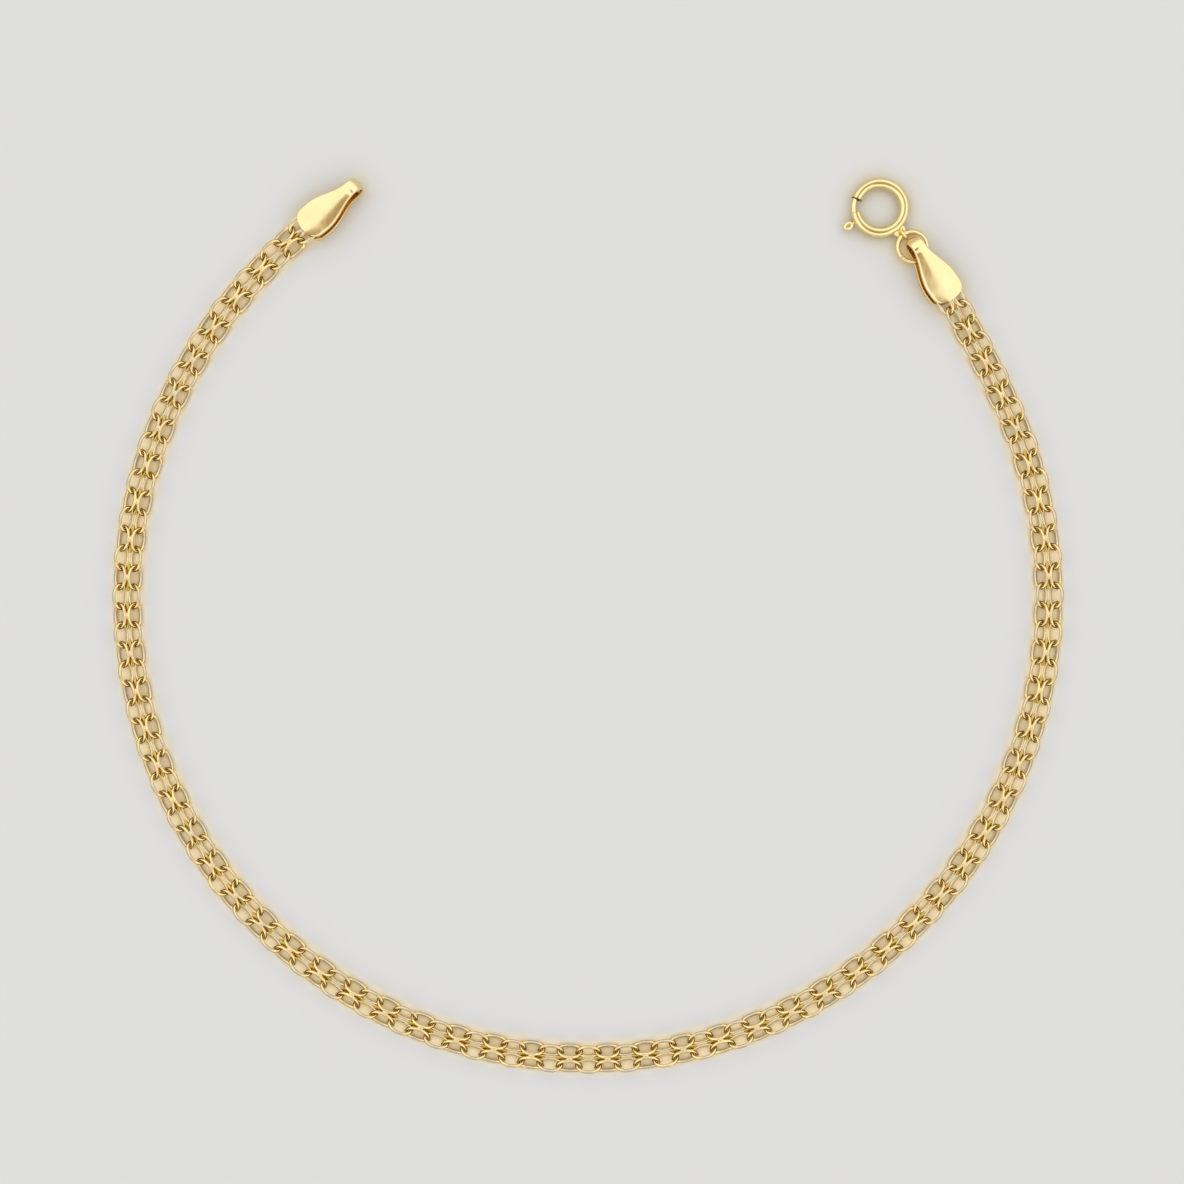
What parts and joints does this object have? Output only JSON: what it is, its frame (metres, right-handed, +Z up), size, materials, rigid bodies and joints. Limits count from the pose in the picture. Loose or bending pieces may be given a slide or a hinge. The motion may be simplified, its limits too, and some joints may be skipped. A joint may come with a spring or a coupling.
{
  "type": "chain bracelet with a spring ring clasp",
  "caption": "Flat two-row gold chain bracelet, lying open, with a folded tag at each end, a jump ring and a spring ring clasp whose trigger draws back its gate.",
  "frame": {"origin": "on the surface it lies on, under the middle of the bracelet's box", "axes": "+X across the loop towards the clasp end, +Y from the middle of the chain towards the open ends, +Z up from the surface"},
  "size_m": [0.075, 0.0706, 0.0019],
  "materials": {
    "chain_gold": "bright drawn yellow gold wire",
    "polished_gold": "polished yellow gold sheet and wire",
    "clasp_gold": "polished, slightly greener yellow gold tube"
  },
  "bodies": {
    "bracelet": {"chain": "chain_gold", "catch_tag": "polished_gold", "clasp_tag": "polished_gold", "jump_ring": "polished_gold", "spring_ring": "clasp_gold"},
    "trigger": {"trigger": "clasp_gold"}
  },
  "joints": [
    {"name": "trigger_slide", "type": "hinge", "parent": "bracelet", "child": "trigger", "pos_m": [0.02304, 0.03299, 0.00056], "axis": [0, 0, 1], "range_deg": [0, 37], "stiffness_Nm_per_rad": 0.0005}
  ]
}
